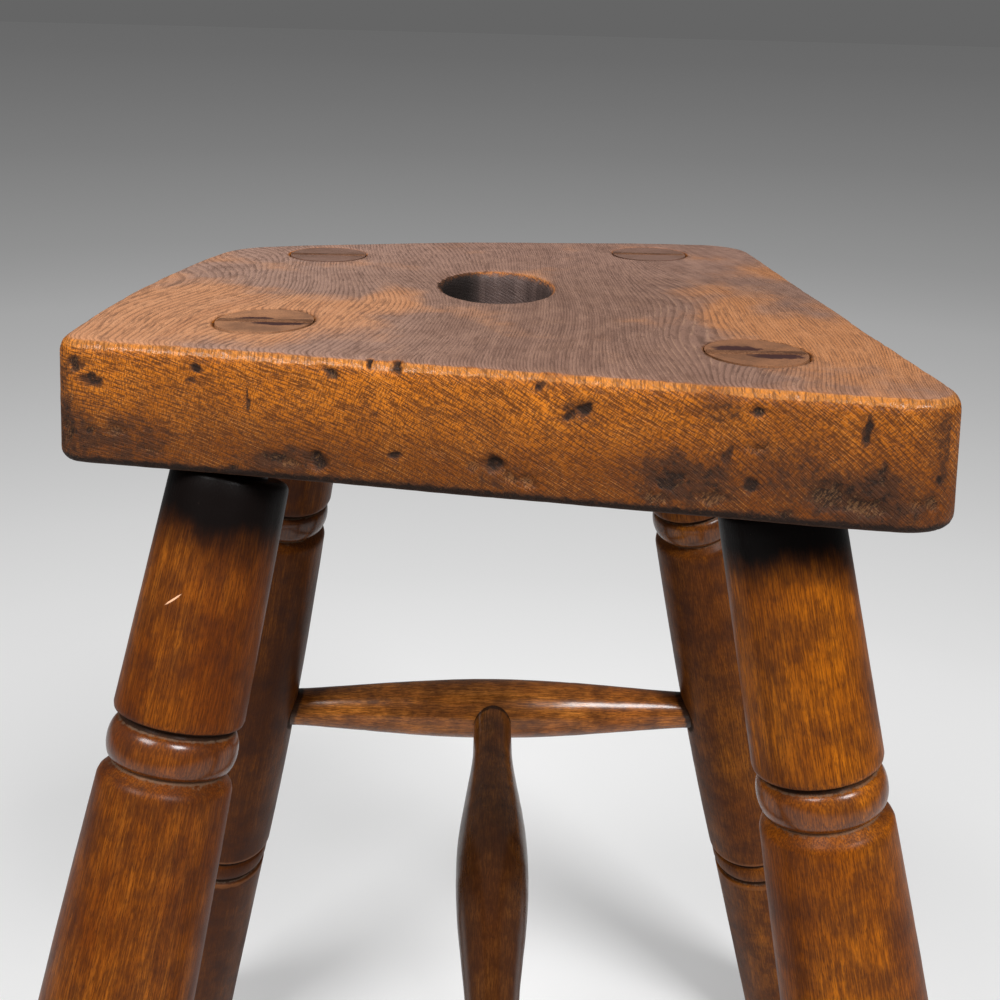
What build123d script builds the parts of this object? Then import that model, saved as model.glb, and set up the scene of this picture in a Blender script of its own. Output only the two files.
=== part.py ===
from build123d import *
import os
from math import copysign, sqrt

# A hand-made four-legged stool: a thick slab seat with a grab hole, four splayed turned legs
# wedged through it, and an H stretcher. Millimetres, +Z up, with the near face towards -Y.
# The origin is on the floor, midway between the outermost feet each way.

# --- Overall -----------------------------------------------------------------------------------
stool_height = 620              # floor to the top of the seat
seat_thickness = 45             # one and three quarter inch board

# --- Seat outline, seen from above, measured from the seat's own middle ---------------------------
near_left = (-152, -89)         # corners before they are rounded
near_right = (141, -148)
far_right = (128, 124)
far_left = (-125, 90)
left_bow = 7                    # how far the left edge swells past its chord
far_bow = 12                    # how far the far edge swells past its chord
near_left_round = 12            # plan radii of the corners
near_right_round = 16
far_right_round = 24
far_left_round = 30
top_arris = 5                   # worn round along the top edge
bottom_arris = 4                # softened round along the bottom edge

# --- Hand hole --------------------------------------------------------------------------------------
hole_x = 0                      # its middle, measured from the seat's middle
hole_y = 10
hole_width = 46                 # across the grain
hole_length = 62                # along the grain
hole_arris = 3                  # worn round on both rims

# --- Leg turning: distances down the axis from the seat's underside ------------------------------------
shoulder_step = 4.5             # the shoulder at the seat is this much wider than the tenon
shoulder_round = 3
shoulder_gap = 0.05             # between the shoulder's high side and the seat
collar_radius = 24.5            # at the lip above the bead
bead_at = 111
bead_stand = 2.7                # how far the bead stands out of its grooves
bead_height = 15                # from groove to groove
groove_depth = 3                # below the collar
groove_width = 2
lip_height = 2                  # worn slope from a groove out to the full radius
below_bead_radius = 25
swell_at = 265                  # the cross bars enter here
swell_radius = 29
ring_at = 393                   # thin double ring near the foot
ring_height = 18                # from groove to groove
ring_side_radius = 29.6         # just above and just below the ring
ring_groove_depth = 2.1
ring_stand = 1.7                # how far the ring stands out of its grooves
foot_radius = 28.5
foot_round = 2

# --- Leg tenons and wedges --------------------------------------------------------------------------------
tenon_radius = 17
tenon_clearance = 0.1           # radial gap between a leg's tenon and its socket
wedge_depth = 26
wedge_top = 4.5                 # thickness at the seat's top
wedge_tip = 1.5                 # thickness at its driven end
wedge_end_gap = 0.3             # between the wedge's ends and the socket's wall
kerf_past_wedge = 4             # how far the saw cut runs past the wedge's tip

# --- Stretchers ----------------------------------------------------------------------------------------------
cross_middle_radius = 18
cross_end_radius = 11.2
cross_tenon_length = 20         # how far a cross bar goes into a leg
centre_swell_radius = 18.4
centre_swell_along = 0.52       # where it is fattest, as a share of its length from the rear
centre_neck_radius = 11.3
centre_neck_length = 48         # straight stretch at each end
centre_tenon_length = 12        # how far the centre bar goes into a cross bar
bar_clearance = 0.1             # radial gap between a bar and its socket
bar_end_gap = 1.5               # glue space past the bar's end

# --- Legs: where each axis crosses the underside, its splay per unit of height, and how much lower
# or higher than the rest its turning was cut ---------------------------------------------------------------
leg_values = {
    "front_left": ((-96, -73), (0.227, 0.332), 0),
    "front_right": ((96, -99), (0.223, 0.175), 6),
    "rear_left": ((-88, 84), (0.230, 0.223), -9),
    "rear_right": ((88, 100), (0.277, 0.191), -1),
}

underside = stool_height - seat_thickness
margin = 10                     # how far cutting shapes run past what they cut


class Leg:
    """One leg's place: its axis, its working planes and the levels of its turning."""

    def __init__(self, place, splay, lower_by):
        x, y = place
        self.run = (copysign(splay[0], x), copysign(splay[1], y))
        self.down = Vector(self.run[0], self.run[1], -1).normalized()
        self.lean_cos = -self.down.Z
        self.lean_sin = sqrt(1 - self.lean_cos**2)
        self.lower_by = lower_by
        self.place = place
        self.foot_x = x + self.run[0] * underside
        self.foot_y = y + self.run[1] * underside

    def settle(self, seat_x, seat_y):
        """Stand the leg under the seat, whose middle is at seat_x, seat_y."""
        self.top = Vector(seat_x + self.place[0], seat_y + self.place[1], underside)
        square = Plane(self.top, x_dir=(1, 0, 0), z_dir=-self.down)
        self.square = square
        self.profile = Plane(self.top, x_dir=square.x_dir, z_dir=-square.y_dir)
        self.edge_on = Plane(self.top, x_dir=square.y_dir, z_dir=square.x_dir)
        self.axis = Axis(self.top, -self.down)

    def point(self, distance):
        """The point on the axis at a distance down from the underside."""
        return self.top + self.down * distance


legs = {name: Leg(*values) for name, values in leg_values.items()}
feet_x = [leg.foot_x for leg in legs.values()]
feet_y = [leg.foot_y for leg in legs.values()]
seat_x = -(min(feet_x) + max(feet_x)) / 2
seat_y = -(min(feet_y) + max(feet_y)) / 2
for leg in legs.values():
    leg.settle(seat_x, seat_y)


class Bar:
    """A turned bar between two points, with the distances at which it leaves the wood at each end."""

    def __init__(self, start, end, start_cover, end_cover):
        self.start = start
        self.end = end
        self.length = (end - start).length
        self.along = (end - start).normalized()
        self.start_cover = start_cover
        self.end_cover = end_cover
        self.profile = Plane(start, x_dir=self.along, z_dir=self.along.cross(Vector(0, 0, 1)))
        self.axis = Axis(start, self.along)
        self.middle = start + self.along * (self.length / 2)


def cross_bar(left, right):
    """The bar from one leg's swell to another's."""
    start = left.point(swell_at + left.lower_by)
    end = right.point(swell_at + right.lower_by)
    along = (end - start).normalized()
    covers = []
    for leg in (left, right):
        square_on = along.cross(leg.down).length
        slant = abs(along.dot(leg.down)) / square_on
        covers.append(swell_radius / square_on + (cross_end_radius + bar_clearance) * slant)
    return Bar(start, end, *covers)


front_bar = cross_bar(legs["front_left"], legs["front_right"])
rear_bar = cross_bar(legs["rear_left"], legs["rear_right"])
centre_bar = Bar(rear_bar.middle, front_bar.middle, cross_middle_radius, cross_middle_radius)


def seat_point(corner):
    return (seat_x + corner[0], seat_y + corner[1])


def bowed(first, second, bow):
    """The middle of an edge that swells outward, to the left of the way it is drawn."""
    run = Vector(*second) - Vector(*first)
    outward = Vector(-run.Y, run.X).normalized()
    middle = (Vector(*first) + Vector(*second)) * 0.5 + outward * bow
    return (middle.X, middle.Y)


os.makedirs("parts", exist_ok=True)

# --- Seat -------------------------------------------------------------------------------------------------
# Drawn clockwise, so that outward is to the left of every edge.
corners = [seat_point(corner) for corner in (near_left, far_left, far_right, near_right)]
rounds = [near_left_round, far_left_round, far_right_round, near_right_round]
with BuildPart() as seat:
    with BuildSketch(Plane.XY.offset(underside)) as outline:
        with BuildLine():
            ThreePointArc(corners[0], bowed(corners[0], corners[1], left_bow), corners[1])
            ThreePointArc(corners[1], bowed(corners[1], corners[2], far_bow), corners[2])
            Line(corners[2], corners[3])
            Line(corners[3], corners[0])
        make_face()
        for corner, radius in zip(corners, rounds):
            fillet(outline.vertices().sort_by_distance((*corner, underside))[0], radius)
    extrude(amount=seat_thickness)
    fillet(seat.faces().sort_by(Axis.Z)[-1].edges(), top_arris)
    fillet(seat.faces().sort_by(Axis.Z)[0].edges(), bottom_arris)
    with BuildSketch(Plane.XY.offset(underside)):
        with Locations((seat_x + hole_x, seat_y + hole_y)):
            Ellipse(hole_width / 2, hole_length / 2)
    extrude(amount=seat_thickness, mode=Mode.SUBTRACT)
    fillet(seat.faces().sort_by(Axis.Z)[-1].inner_wires()[0].edges(), hole_arris)
    fillet(seat.faces().sort_by(Axis.Z)[0].inner_wires()[0].edges(), hole_arris)
    for leg in legs.values():
        with BuildSketch(leg.square):
            Circle(tenon_radius + tenon_clearance)
        extrude(amount=seat_thickness / leg.lean_cos + 2 * margin, both=True, mode=Mode.SUBTRACT)
seat.part.label = "seat"
export_step(seat.part, "parts/seat.step")


# --- Legs and wedges -----------------------------------------------------------------------------------------
def leg_outline(leg):
    """Half the turned profile: radius across, and height up the axis from the underside."""
    shoulder_radius = tenon_radius + shoulder_step
    shoulder_reach = shoulder_radius - shoulder_round
    groove_radius = collar_radius - groove_depth
    bead_radius = groove_radius + bead_stand
    ring_groove_radius = ring_side_radius - ring_groove_depth
    ring_radius = ring_groove_radius + ring_stand
    high_side = shoulder_reach * leg.lean_sin + shoulder_round * (1 - leg.lean_cos)
    shoulder = -(high_side / leg.lean_cos + shoulder_gap)
    tenon_end = seat_thickness / leg.lean_cos + tenon_radius * leg.lean_sin / leg.lean_cos + margin
    foot = -(underside / leg.lean_cos + foot_radius * leg.lean_sin / leg.lean_cos + margin)
    bead = -(bead_at + leg.lower_by)
    ring = -(ring_at + leg.lower_by)
    swell = -(swell_at + leg.lower_by)
    bead_top = bead + bead_height / 2
    bead_foot = bead - bead_height / 2
    ring_top = ring + ring_height / 2
    ring_foot = ring - ring_height / 2
    corner = shoulder_round * (1 - sqrt(0.5))
    Line((0, foot), (0, tenon_end))
    Line((0, tenon_end), (tenon_radius, tenon_end))
    Line((tenon_radius, tenon_end), (tenon_radius, shoulder))
    Line((tenon_radius, shoulder), (shoulder_reach, shoulder))
    ThreePointArc(
        (shoulder_reach, shoulder),
        (shoulder_radius - corner, shoulder - corner),
        (shoulder_radius, shoulder - shoulder_round),
    )
    Polyline(
        (shoulder_radius, shoulder - shoulder_round),
        (collar_radius, bead_top + groove_width + lip_height),
        (groove_radius, bead_top + groove_width),
        (groove_radius, bead_top),
    )
    ThreePointArc((groove_radius, bead_top), (bead_radius, bead), (groove_radius, bead_foot))
    Polyline(
        (groove_radius, bead_foot),
        (groove_radius, bead_foot - groove_width),
        (below_bead_radius, bead_foot - groove_width - lip_height),
    )
    ThreePointArc(
        (below_bead_radius, bead_foot - groove_width - lip_height),
        (swell_radius, swell),
        (ring_side_radius, ring_top + lip_height),
    )
    Polyline(
        (ring_side_radius, ring_top + lip_height),
        (ring_groove_radius, ring_top),
        (ring_radius, ring_top - lip_height),
        (ring_radius, ring_foot + lip_height),
        (ring_groove_radius, ring_foot),
        (ring_side_radius, ring_foot - lip_height),
        (foot_radius, foot),
        (0, foot),
    )


def wedge_outline(leg):
    """The wedge seen edge on: it widens up to the seat's top and on past it, to be cut flush."""
    seat_top = seat_thickness / leg.lean_cos
    tip = seat_top - wedge_depth
    over = tenon_radius * leg.lean_sin / leg.lean_cos + margin
    over_width = wedge_tip + (wedge_top - wedge_tip) * (wedge_depth + over) / wedge_depth
    Polyline(
        (-over_width / 2, seat_top + over),
        (-wedge_tip / 2, tip),
        (wedge_tip / 2, tip),
        (over_width / 2, seat_top + over),
        close=True,
    )


def kerf_end_outline(leg):
    """The saw cut's narrow end, which the wedge doesn't reach."""
    tip = seat_thickness / leg.lean_cos - wedge_depth
    end = tip - kerf_past_wedge
    Polyline(
        (-wedge_tip / 2, tip),
        (-wedge_tip / 2, end),
        (wedge_tip / 2, end),
        (wedge_tip / 2, tip),
        close=True,
    )


leg_bars = {
    "front_left": (front_bar.start, front_bar.along, front_bar.start_cover),
    "front_right": (front_bar.end, -front_bar.along, front_bar.end_cover),
    "rear_left": (rear_bar.start, rear_bar.along, rear_bar.start_cover),
    "rear_right": (rear_bar.end, -rear_bar.along, rear_bar.end_cover),
}
for name, leg in legs.items():
    bar_point, bar_way, bar_cover = leg_bars[name]
    socket_end = bar_cover - cross_tenon_length - bar_end_gap
    with BuildPart() as turned:
        with BuildSketch(leg.profile):
            with BuildLine():
                leg_outline(leg)
            make_face()
        revolve(axis=leg.axis)
        split(bisect_by=Plane.XY, keep=Keep.TOP)
        split(bisect_by=Plane.XY.offset(stool_height), keep=Keep.BOTTOM)
        fillet(turned.faces().sort_by(Axis.Z)[0].edges(), foot_round)
        with BuildSketch(leg.edge_on):
            with BuildLine():
                wedge_outline(leg)
            make_face()
            with BuildLine():
                kerf_end_outline(leg)
            make_face()
        extrude(amount=tenon_radius + margin, both=True, mode=Mode.SUBTRACT)
        with BuildSketch(Plane(bar_point + bar_way * socket_end, z_dir=bar_way)):
            Circle(cross_end_radius + bar_clearance)
        extrude(amount=cross_tenon_length + bar_end_gap + margin, mode=Mode.SUBTRACT)
    turned.part.label = "leg_" + name
    export_step(turned.part, "parts/leg_" + name + ".step")

    with BuildPart() as wedge:
        with BuildSketch(leg.edge_on):
            with BuildLine():
                wedge_outline(leg)
            make_face()
        extrude(amount=tenon_radius + margin, both=True)
        with BuildSketch(leg.square):
            Circle(tenon_radius + tenon_clearance - wedge_end_gap)
        extrude(amount=2 * seat_thickness, mode=Mode.INTERSECT)
        split(bisect_by=Plane.XY.offset(stool_height), keep=Keep.BOTTOM)
    wedge.part.label = "wedge_" + name
    export_step(wedge.part, "parts/wedge_" + name + ".step")


# --- Stretchers ---------------------------------------------------------------------------------------------
def cross_outline(bar):
    """A cross bar, fat in the middle: distance along the bar, and radius."""
    start = bar.start_cover - cross_tenon_length
    end = bar.length - bar.end_cover + cross_tenon_length
    Line((start, 0), (start, cross_end_radius))
    Line((start, cross_end_radius), (bar.start_cover, cross_end_radius))
    ThreePointArc(
        (bar.start_cover, cross_end_radius),
        (bar.length / 2, cross_middle_radius),
        (bar.length - bar.end_cover, cross_end_radius),
    )
    Line((bar.length - bar.end_cover, cross_end_radius), (end, cross_end_radius))
    Line((end, cross_end_radius), (end, 0))
    Line((end, 0), (start, 0))


for name, bar in {"stretcher_front": front_bar, "stretcher_rear": rear_bar}.items():
    way_in = centre_bar.along if bar is rear_bar else -centre_bar.along
    socket_depth = cross_middle_radius - centre_tenon_length - bar_end_gap
    with BuildPart() as stretcher:
        with BuildSketch(bar.profile):
            with BuildLine():
                cross_outline(bar)
            make_face()
        revolve(axis=bar.axis)
        with BuildSketch(Plane(bar.middle + way_in * socket_depth, z_dir=way_in)):
            Circle(centre_neck_radius + bar_clearance)
        extrude(amount=centre_tenon_length + bar_end_gap + margin, mode=Mode.SUBTRACT)
    stretcher.part.label = name
    export_step(stretcher.part, "parts/" + name + ".step")

with BuildPart() as stretcher:
    bar = centre_bar
    start = bar.start_cover - centre_tenon_length
    end = bar.length - bar.end_cover + centre_tenon_length
    neck_start = bar.start_cover + centre_neck_length - cross_middle_radius
    neck_end = bar.length - neck_start
    fattest = bar.length * centre_swell_along
    with BuildSketch(bar.profile):
        with BuildLine():
            Line((start, 0), (start, centre_neck_radius))
            Line((start, centre_neck_radius), (neck_start, centre_neck_radius))
            Spline(
                (neck_start, centre_neck_radius),
                (fattest, centre_swell_radius),
                (neck_end, centre_neck_radius),
                tangents=[(1, 0), (1, 0)],
            )
            Line((neck_end, centre_neck_radius), (end, centre_neck_radius))
            Line((end, centre_neck_radius), (end, 0))
            Line((end, 0), (start, 0))
        make_face()
    revolve(axis=bar.axis)
stretcher.part.label = "stretcher_centre"
export_step(stretcher.part, "parts/stretcher_centre.step")
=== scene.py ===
# %% [markdown]
# # An old turned stool in Blender
# The real thing is a workshop-made stool: a thick elm seat with a grab hole, four fat turned
# beech legs wedged through it, and an H of turned bars between them. Its sizes come from the
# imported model, which is loaded as a fixed frame. Here the pieces get their worn shapes and
# their finishes, and then they are lit. Everything is in metres, with +Z up and the near face
# towards -Y. Lengths are written in millimetres and multiplied by MM.

# %% Load the frame
import bpy
import bmesh
from math import copysign, cos, pi, radians, sin, sqrt
from mathutils import Matrix, Vector, noise


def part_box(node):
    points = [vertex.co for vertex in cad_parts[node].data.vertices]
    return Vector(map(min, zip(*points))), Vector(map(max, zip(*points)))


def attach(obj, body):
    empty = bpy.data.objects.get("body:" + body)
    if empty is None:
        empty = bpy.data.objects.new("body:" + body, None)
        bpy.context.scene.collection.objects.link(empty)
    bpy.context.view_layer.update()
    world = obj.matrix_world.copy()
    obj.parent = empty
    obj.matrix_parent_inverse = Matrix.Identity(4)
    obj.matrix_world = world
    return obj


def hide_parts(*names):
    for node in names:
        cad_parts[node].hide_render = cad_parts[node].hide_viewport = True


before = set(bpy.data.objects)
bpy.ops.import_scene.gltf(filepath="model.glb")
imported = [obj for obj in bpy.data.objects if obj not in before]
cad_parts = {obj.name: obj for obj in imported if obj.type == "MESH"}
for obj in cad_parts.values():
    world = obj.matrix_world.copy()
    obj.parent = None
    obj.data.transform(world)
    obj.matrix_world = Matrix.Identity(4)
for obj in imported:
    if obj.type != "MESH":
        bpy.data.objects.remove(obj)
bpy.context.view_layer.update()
MM = 0.001
SCENE = bpy.context.scene
print("nodes:", sorted(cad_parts))

# %% [markdown]
# ## Where things are
# The legs splay by different amounts, as they do when each socket is bored by eye. Each leg is
# known by the point where its axis meets the underside of the seat, its splay per unit of
# height, and how much lower or higher than the rest its turning was cut. The seat's middle
# follows from the feet, because the origin lies midway between the outermost ones.

# %% Seat and leg places, in millimetres
seat_low, seat_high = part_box("seat")
SEAT_TOP = seat_high.z
UNDERSIDE = seat_low.z
LEG_VALUES = {
    "front_left": ((-96, -73), (0.227, 0.332), 0),
    "front_right": ((96, -99), (0.223, 0.175), 6),
    "rear_left": ((-88, 84), (0.230, 0.223), -9),
    "rear_right": ((88, 100), (0.277, 0.191), -1),
}
LEG_HEIGHT = UNDERSIDE / MM
SEAT_THICKNESS, HALF_WIDTH, TENON = 45, 140, 17


def foot(place, splay):
    """Where a leg's axis meets the floor, measured from the seat's middle."""
    return [at + copysign(lean, at) * LEG_HEIGHT for at, lean in zip(place, splay)]


feet = [foot(place, splay) for place, splay, lower in LEG_VALUES.values()]
SEAT_X = -(min(f[0] for f in feet) + max(f[0] for f in feet)) / 2
SEAT_Y = -(min(f[1] for f in feet) + max(f[1] for f in feet)) / 2
LEG_TOP, LEG_DOWN, LEG_LOWER = {}, {}, {}
for name, (place, splay, lower) in LEG_VALUES.items():
    run = [copysign(lean, at) for at, lean in zip(place, splay)]
    LEG_TOP[name] = Vector((SEAT_X + place[0], SEAT_Y + place[1], LEG_HEIGHT)) * MM
    LEG_DOWN[name] = Vector((run[0], run[1], -1)).normalized()
    LEG_LOWER[name] = lower
print("seat middle, mm:", round(SEAT_X, 2), round(SEAT_Y, 2))


# %% [markdown]
# ## Helpers for meshes
# Every piece ends as a mesh object at the origin, smooth shaded, with only its real corners
# kept sharp, and it rides on the stool's one body. A merged copy of a CAD node is the starting
# point where the node's outline is already right and only its surface needs wear.

# %% Mesh helpers
def finish_piece(b, name, node, corner=38):
    """Turns a bmesh into the piece that stands for a CAD node."""
    mesh = bpy.data.meshes.new(name)
    for face in b.faces:
        face.smooth = True
    b.to_mesh(mesh)
    b.free()
    mesh.set_sharp_from_angle(angle=radians(corner))
    piece = bpy.data.objects.new(name, mesh)
    SCENE.collection.objects.link(piece)
    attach(piece, "root")
    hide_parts(node)
    print(name, len(mesh.polygons), "faces")
    return piece


def merged_copy(node):
    """A bmesh of a CAD node, with its loose triangles joined."""
    b = bmesh.new()
    b.from_mesh(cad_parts[node].data)
    bmesh.ops.remove_doubles(b, verts=b.verts, dist=0.02 * MM)
    return b


def evened(b, cell):
    """The same closed shape, wrapped in even quads of one size."""
    rough = bpy.data.meshes.new("rough")
    b.to_mesh(rough)
    b.free()
    holder = bpy.data.objects.new("rough", rough)
    SCENE.collection.objects.link(holder)
    wrap = holder.modifiers.new("wrap", "REMESH")
    wrap.mode = "VOXEL"
    wrap.voxel_size = cell
    graph = bpy.context.evaluated_depsgraph_get()
    made = bpy.data.meshes.new_from_object(holder.evaluated_get(graph))
    b = bmesh.new()
    b.from_mesh(made)
    bpy.data.objects.remove(holder)
    bpy.data.meshes.remove(rough)
    bpy.data.meshes.remove(made)
    return b


def lump(point, size, seed=0):
    """Smooth random value from -1 to 1, with features of about that size."""
    return noise.noise(point / size + Vector((seed * 7.3, seed * 3.1, seed * 5.7)))


# %% [markdown]
# ## The seat's shape
# On the real stool the seat is one elm board with eighty years of wear. Its top arris has been
# rubbed round and nicked, its end-grain face is dented, and the tenons of the legs have shrunk
# a little below it. It could be drawn as a new outline and extruded, but the CAD node already
# has the right outline, hand hole and sockets, so a copy of it is wrapped in even quads that
# are small enough to dent one by one. The wood outside the rear left socket is too thin for those
# quads, so every socket is first narrowed at its lower end, where the tenon hides it. The dents
# on the near face are listed: how far
# along from its left end, how far up from the underside, how wide and high, and how deep.

# %% The near face's own directions
NEAR_LEFT = Vector((SEAT_X - 152, SEAT_Y - 89, LEG_HEIGHT)) * MM
NEAR_RIGHT = Vector((SEAT_X + 141, SEAT_Y - 148, LEG_HEIGHT)) * MM
near_along = (NEAR_RIGHT - NEAR_LEFT).normalized()
near_out = Vector((near_along.y, -near_along.x, 0))
HOLE = Vector((SEAT_X, SEAT_Y + 10, 0)) * MM

# %% Dents, dirt and torn fibres on the near face, in millimetres
# (along, up, half width, half height, depth, dirt from 0 to 1, torn pale fibre from 0 to 1)
FACE_MARKS = [
    (51, 38, 3.2, 2.2, 0.4, 1.0, 0), (49, 34, 2.2, 1.8, 0.3, 0.8, 0),
    (97, 40, 2.6, 2.4, 0.9, 0.9, 0.5), (110, 44, 1.6, 3.2, 0.8, 1.0, 0),
    (119, 44, 1.8, 3.4, 0.9, 1.0, 0), (8, 37, 4.5, 4.2, 0.9, 0.8, 0.4),
    (14, 32, 4.5, 3.5, 0.3, 0.9, 0), (7, 26, 1.2, 5.0, 0.3, 0.2, 0.9),
    (5, 12, 3.2, 5.5, 1.3, 0.8, 0.6), (23, 14, 5.0, 2.6, 0.7, 0.7, 0.7),
    (13, 14, 3.0, 2.5, 0.6, 0.8, 0.3), (34, 8, 4.5, 1.6, 0.5, 0.3, 0.7),
    (68, 29, 1.2, 6.5, 0.4, 0.8, 0.2), (77, 9, 7.5, 3.6, 0.5, 0.9, 0.3),
    (82, 7, 4.0, 1.8, 0.7, 0.2, 0.9), (92, 9, 4.6, 4.4, 1.6, 1.0, 0.3),
    (119, 14, 3.4, 2.0, 0.8, 1.0, 0), (145, 12, 3.0, 2.6, 0.5, 0.4, 0.8),
    (152, 13, 4.2, 3.8, 1.8, 1.0, 0), (157, 9, 3.4, 3.0, 0.9, 0.2, 1.0),
    (163, 8, 3.6, 2.6, 1.0, 0.3, 1.0), (132, 16, 6.0, 0.7, 0.3, 0, 0.6),
    (180, 34, 4.2, 3.0, 0.9, 1.0, 0), (176, 32, 2.4, 2.0, 0.5, 0.8, 0),
    (166, 41, 2.2, 1.8, 0.5, 0.8, 0), (234, 38, 4.0, 1.8, 0.9, 1.0, 0.3),
    (235, 26, 5.2, 2.0, 1.0, 0.4, 0.9), (226, 23, 2.0, 5.0, 0.4, 0.8, 0),
    (234, 13, 3.6, 4.0, 0.7, 1.0, 0), (222, 8, 7.0, 3.0, 0.8, 0.4, 0.9),
    (205, 6, 5.0, 3.0, 0.6, 0.6, 0.6), (209, 13, 7.5, 5.0, 0.4, 0.9, 0.1),
    (266, 34, 1.6, 6.0, 0.5, 0.9, 0), (258, 12, 7.0, 5.5, 0.8, 0.9, 0.5),
    (268, 9, 7.5, 4.0, 1.0, 0.8, 0.8), (272, 20, 2.0, 7.0, 0.4, 0.8, 0.2),
    (281, 11, 2.4, 2.6, 0.9, 0.3, 0.8), (286, 11, 3.2, 3.0, 1.0, 0.6, 0.6),
    (292, 34, 2.4, 4.4, 0.8, 1.0, 0), (288, 19, 1.6, 1.8, 0.5, 1.0, 0),
    (62, 4, 3.0, 2.0, 0.5, 0.7, 0.2), (246, 5, 4.0, 2.2, 0.6, 0.7, 0.3),
]
# (along, up, half width, half height, strength) of the broad dark clouds that dirt has left
FACE_CLOUDS = [
    (6, 15, 22, 18, 0.7), (4, 34, 10, 10, 0.5), (22, 12, 30, 12, 0.6), (70, 18, 26, 12, 0.2),
    (82, 8, 24, 8, 0.65), (152, 10, 14, 9, 0.5), (108, 26, 12, 10, 0.25), (214, 13, 28, 14, 0.7),
    (222, 37, 10, 8, 0.45), (246, 20, 22, 18, 0.5), (268, 12, 28, 15, 0.8), (292, 30, 14, 26, 0.55),
    (180, 34, 10, 7, 0.4),
]


# %% How much a soft oval covers a place
def oval(along, up, mark):
    """1 in the middle of an oval mark, 0 at its rim and beyond."""
    return max(0.0, 1 - sqrt(((along - mark[0]) / mark[2]) ** 2 + ((up - mark[1]) / mark[3]) ** 2))


# %% Wear the seat
SEAT_CELL = 1.75 * MM
b = merged_copy("seat")
for v in b.verts:
    for name in LEG_TOP:
        off_axis = v.co - LEG_TOP[name]
        off_axis -= off_axis.dot(LEG_DOWN[name]) * LEG_DOWN[name]
        if off_axis.length < (TENON + 1) * MM and v.co.z < UNDERSIDE + 5 * MM:
            v.co -= 0.3 * off_axis
b = evened(b, SEAT_CELL)
for turn in range(2):
    bmesh.ops.smooth_vert(b, verts=b.verts, factor=0.5, use_axis_x=True, use_axis_y=True, use_axis_z=True)
near_faces = [f for f in b.faces if (f.calc_center_median() - NEAR_LEFT).dot(near_out) > -5 * MM]
near_edges = list({e for f in near_faces for e in f.edges})
bmesh.ops.subdivide_edges(b, edges=near_edges, cuts=1, use_grid_fill=True)
b.normal_update()
dirt_and_shade = b.verts.layers.float.new("dirt_and_shade")
torn = b.verts.layers.float.new("torn")
rubbed_and_highlight = b.verts.layers.float.new("rubbed_and_highlight")
warm = b.verts.layers.float.new("warm")
hand = b.verts.layers.float.new("hand")
moves = {}
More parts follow.
